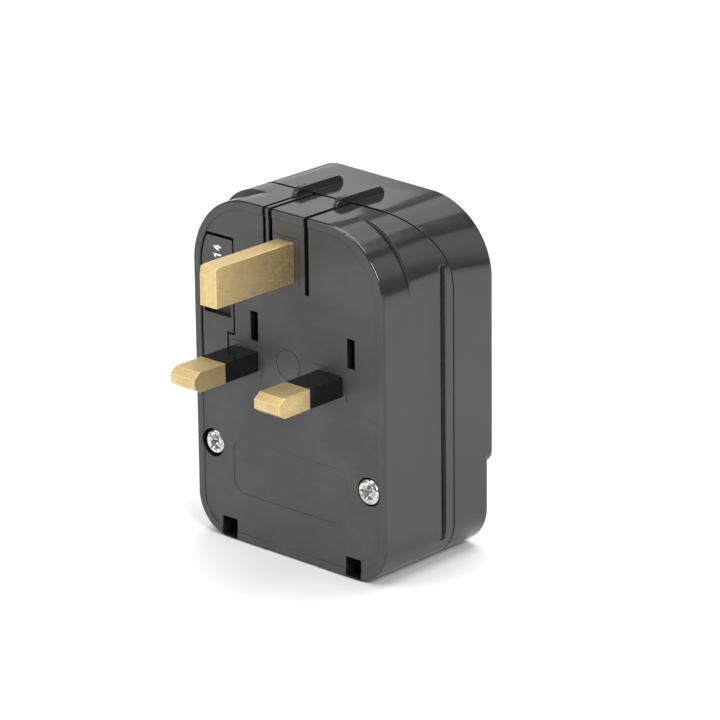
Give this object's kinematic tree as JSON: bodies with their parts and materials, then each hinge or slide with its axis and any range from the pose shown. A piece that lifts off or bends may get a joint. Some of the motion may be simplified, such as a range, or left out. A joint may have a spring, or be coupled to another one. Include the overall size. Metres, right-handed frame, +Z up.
{
  "type": "travel adapter",
  "caption": "Black hinged plug adapter with flat rectangular pins, a fuse drawer and captive cover screws, which encloses a flat round-pin plug.",
  "frame": {"origin": "on the engagement face, midway between the live and neutral pins", "axes": "+Z up towards the earth pin and the hinge, -Y the way the pins point, +X to the right seen from the pins"},
  "size_m": [0.05, 0.0541, 0.0722],
  "materials": {
    "case_plastic": "semi-gloss moulded black plastic",
    "inner_plastic": "matt black moulded plastic",
    "sleeve_plastic": "satin black insulating sleeve",
    "pin_brass": "milled brass, lightly tarnished",
    "contact_bronze": "rolled spring bronze",
    "fuse_ceramic": "glazed off-white ceramic",
    "cap_nickel": "nickel plate",
    "screw_nickel": "bright nickel plate",
    "ring_steel": "plain spring steel"
  },
  "bodies": {
    "case": {"front_housing": "case_plastic", "hinge_pins": "screw_nickel", "earth_pin_carrier": "case_plastic", "earth_pin": "pin_brass", "live_pin": "pin_brass", "neutral_pin": "pin_brass", "live_pin_sleeve": "sleeve_plastic", "neutral_pin_sleeve": "sleeve_plastic", "upper_fuse_clip": "contact_bronze", "lower_fuse_clip": "contact_bronze", "live_contact": "contact_bronze", "neutral_contact": "contact_bronze", "neutral_link": "contact_bronze", "link_rivets": "pin_brass", "contact_carrier": "inner_plastic", "carrier_screws": "screw_nickel"},
    "cover": {"rear_cover": "case_plastic", "threaded_inserts": "pin_brass"},
    "drawer": {"fuse_drawer": "case_plastic", "fuse_body": "fuse_ceramic", "fuse_caps": "cap_nickel"},
    "left_screw": {"left_cover_screw": "screw_nickel", "left_retaining_ring": "ring_steel"},
    "right_screw": {"right_cover_screw": "screw_nickel", "right_retaining_ring": "ring_steel"}
  },
  "joints": [
    {"name": "cover_hinge", "type": "hinge", "parent": "case", "child": "cover", "pos_m": [0, 0.0103, 0.0317], "axis": [1, 0, 0], "range_deg": [0, 110]},
    {"name": "fuse_drawer_slide", "type": "slide", "parent": "case", "child": "drawer", "axis": [0, -1, 0], "range_m": [0, 0.012]},
    {"name": "left_screw_drive", "type": "slide", "parent": "case", "child": "left_screw", "axis": [0, 1, 0], "range_m": [-0.0007, 0.005]},
    {"name": "right_screw_drive", "type": "slide", "parent": "case", "child": "right_screw", "axis": [0, 1, 0], "range_m": [0, 0.0058]}
  ]
}
